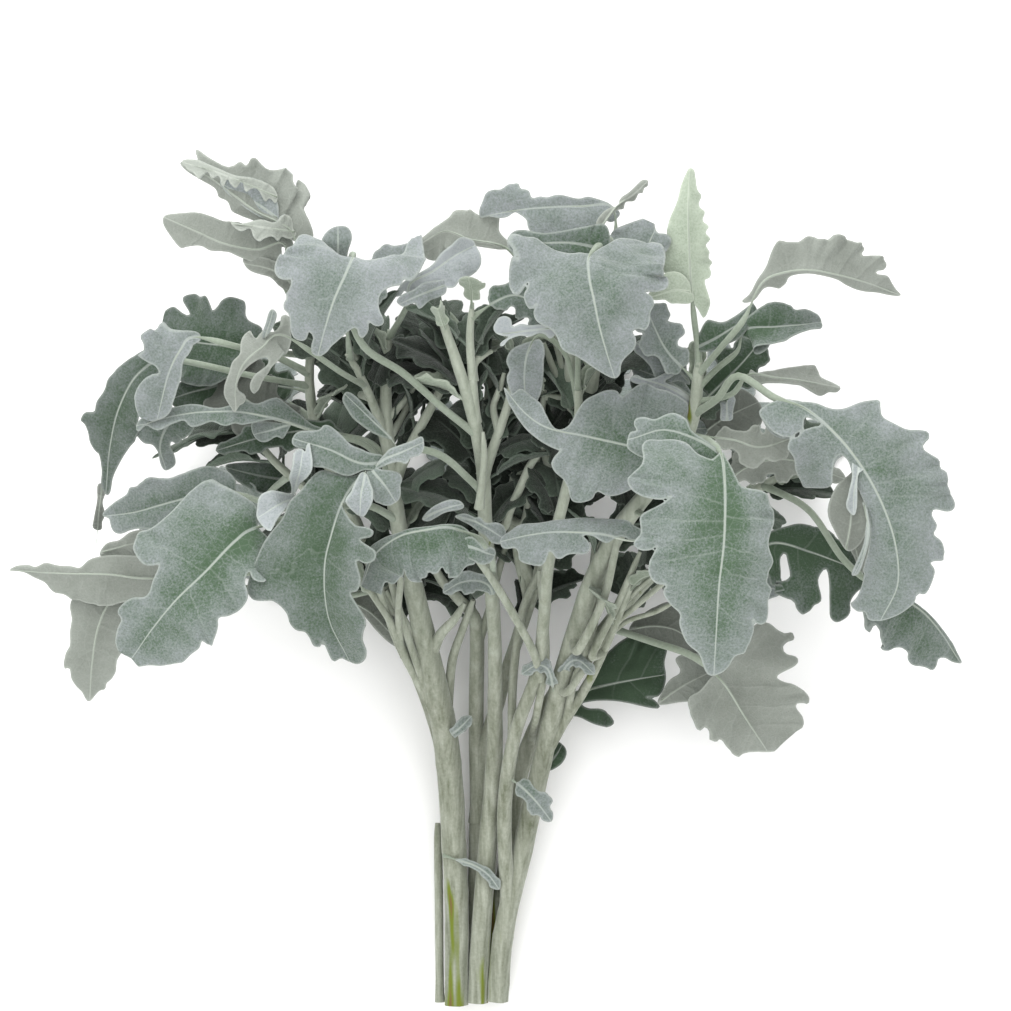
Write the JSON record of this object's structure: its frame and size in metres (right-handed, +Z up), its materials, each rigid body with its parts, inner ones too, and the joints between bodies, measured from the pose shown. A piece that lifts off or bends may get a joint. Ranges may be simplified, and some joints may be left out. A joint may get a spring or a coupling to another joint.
{
  "type": "cut dusty miller bunch",
  "caption": "Cut bunch of dusty miller laid on its side: felted stems side by side at their cut ends, fanning into a head of broad lobed silver-grey leaves.",
  "frame": {"origin": "middle of the bunch's bounding box, on the surface it lies on", "axes": "+X across the leafy head, +Y from the cut ends to the head's tips, +Z up off the surface"},
  "size_m": [0.3864, 0.35, 0.1544],
  "materials": {
    "stem": "matte, fine felt",
    "leaf": "matte, silver felt"
  },
  "bodies": {
    "root": {"stem_left": "stem", "stem_left_back": "stem", "stem_centre": "stem", "stem_centre_back": "stem", "stem_right": "stem", "stem_right_back": "stem", "leaf_right_front": "leaf", "leaf_left_front": "leaf", "leaf_left_lyre": "leaf", "leaf_centre_left": "leaf", "leaf_centre_right": "leaf", "leaf_middle": "leaf", "leaf_right_low_green": "leaf", "leaf_right_outer": "leaf", "leaf_right_tip": "leaf", "leaf_right_fingers": "leaf", "leaf_right_underside": "leaf", "leaf_right_small_dark": "leaf", "leaf_right_top": "leaf", "leaf_right_top_green": "leaf", "leaf_right_narrow": "leaf", "leaf_upright_young": "leaf", "leaf_top_front": "leaf", "leaf_top_back": "leaf", "leaf_top_right": "leaf", "leaf_top_crinkled": "leaf", "leaf_top_left_pale": "leaf", "leaf_small_bright": "leaf", "leaf_hanging_pale": "leaf", "leaf_top_left_front": "leaf", "leaf_top_left_lobe": "leaf", "leaf_top_left_light": "leaf", "leaf_top_grey_behind": "leaf", "leaf_far_left_crinkled": "leaf", "leaf_far_left_smooth": "leaf", "leaf_left_hanging": "leaf", "leaf_left_light": "leaf", "leaf_left_round_lobes": "leaf", "leaf_left_shaded": "leaf", "leaf_left_strap": "leaf", "leaf_left_level": "leaf", "leaf_left_behind": "leaf", "leaf_left_far_point": "leaf", "leaf_left_low_hanging": "leaf", "leaf_right_under_grey": "leaf", "leaf_right_under_brown": "leaf", "leaf_left_dark_fill": "leaf", "leaf_left_dark_tip": "leaf", "leaf_top_right_cluster": "leaf", "leaf_right_dark_fill": "leaf", "leaf_centre_dark_fill": "leaf", "leaf_floor_left_outer": "leaf", "leaf_floor_left_top": "leaf", "leaf_floor_left_low": "leaf", "leaf_floor_centre": "leaf", "leaf_floor_top": "leaf", "leaf_floor_right_low": "leaf", "leaf_floor_right_outer": "leaf", "leaf_floor_right_top": "leaf"}
  },
  "joints": []
}
